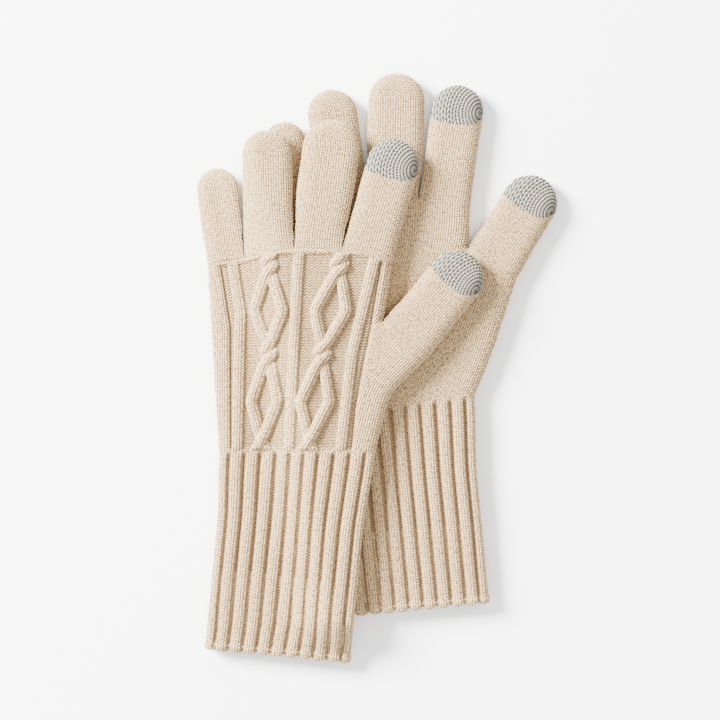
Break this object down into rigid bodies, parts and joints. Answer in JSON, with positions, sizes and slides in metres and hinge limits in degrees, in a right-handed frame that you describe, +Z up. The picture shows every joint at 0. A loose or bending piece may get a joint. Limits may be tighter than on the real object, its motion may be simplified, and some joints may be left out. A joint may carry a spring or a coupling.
{
  "type": "pair of knitted touchscreen gloves",
  "caption": "Pair of long-cuffed knitted gloves with a cabled back and conductive grey fingertips, laid flat one on the other; each finger, thumb and cuff bends and the top glove lifts off",
  "frame": {"origin": "on the table, below the middle of the pair's bounding box", "axes": "+Y towards the fingertips, +X towards the thumbs, +Z up from the table"},
  "size_m": [0.1868, 0.304, 0.0206],
  "materials": {
    "beige_knit": "soft marled wool knit",
    "grey_touch_knit": "grey conductive yarn knit"
  },
  "bodies": {
    "right_hand": {"right_hand_back": "beige_knit", "right_hand_palm": "beige_knit", "right_cuff": "beige_knit", "right_cuff_edge": "beige_knit"},
    "right_thumb": {"right_thumb": "beige_knit", "right_thumb_tip": "grey_touch_knit"},
    "right_index": {"right_index": "beige_knit", "right_index_tip": "grey_touch_knit"},
    "right_middle": {"right_middle": "beige_knit"},
    "right_ring": {"right_ring": "beige_knit"},
    "right_pinky": {"right_pinky": "beige_knit"},
    "left_hand": {"left_hand_back": "beige_knit", "left_hand_palm": "beige_knit"},
    "left_cuff": {"left_cuff": "beige_knit", "left_cuff_edge": "beige_knit"},
    "left_thumb": {"left_thumb": "beige_knit", "left_thumb_tip": "grey_touch_knit"},
    "left_index": {"left_index": "beige_knit", "left_index_tip": "grey_touch_knit"},
    "left_middle": {"left_middle": "beige_knit"},
    "left_ring": {"left_ring": "beige_knit"},
    "left_pinky": {"left_pinky": "beige_knit"}
  },
  "joints": [
    {"name": "left_glove_lift", "type": "slide", "parent": "right_hand", "child": "left_hand", "axis": [0, 0, 1], "range_m": [0, 0.1]},
    {"name": "left_wrist_bend", "type": "hinge", "parent": "left_hand", "child": "left_cuff", "pos_m": [-0.04131, -0.04369, 0.0206], "axis": [-1, 0, 0], "range_deg": [0, 45]},
    {"name": "left_thumb_bend", "type": "hinge", "parent": "left_hand", "child": "left_thumb", "pos_m": [0.01505, 0.01436, 0.0206], "axis": [0.7716, -0.6361, 0], "range_deg": [0, 60]},
    {"name": "left_index_bend", "type": "hinge", "parent": "left_hand", "child": "left_index", "pos_m": [-0.00512, 0.05644, 0.0206], "axis": [0.9636, -0.2672, 0], "range_deg": [0, 60]},
    {"name": "left_middle_bend", "type": "hinge", "parent": "left_hand", "child": "left_middle", "pos_m": [-0.03065, 0.06052, 0.0206], "axis": [0.9914, -0.1305, 0], "range_deg": [0, 60]},
    {"name": "left_ring_bend", "type": "hinge", "parent": "left_hand", "child": "left_ring", "pos_m": [-0.05606, 0.05847, 0.0206], "axis": [0.9999, 0.014, 0], "range_deg": [0, 60]},
    {"name": "left_pinky_bend", "type": "hinge", "parent": "left_hand", "child": "left_pinky", "pos_m": [-0.07859, 0.05467, 0.01211], "axis": [0.9938, 0.1115, 0], "range_deg": [0, 60]},
    {"name": "right_thumb_bend", "type": "hinge", "parent": "right_hand", "child": "right_thumb", "pos_m": [0.06024, 0.05409, 0.01], "axis": [0.8526, -0.5225, 0], "range_deg": [0, 60]},
    {"name": "right_index_bend", "type": "hinge", "parent": "right_hand", "child": "right_index", "pos_m": [0.03481, 0.08379, 0.01], "axis": [0.9903, -0.1392, 0], "range_deg": [0, 60]},
    {"name": "right_middle_sway", "type": "hinge", "parent": "right_hand", "child": "right_middle", "pos_m": [0.00898, 0.08496, 0.01], "axis": [0, 0, 1], "range_deg": [-1, 1]},
    {"name": "right_ring_sway", "type": "hinge", "parent": "right_hand", "child": "right_ring", "pos_m": [-0.01603, 0.08005, 0.01], "axis": [0, 0, 1], "range_deg": [-1, 1]},
    {"name": "right_pinky_sway", "type": "hinge", "parent": "right_hand", "child": "right_pinky", "pos_m": [-0.03798, 0.07371, 0.01], "axis": [0, 0, 1], "range_deg": [-2, 2]}
  ]
}
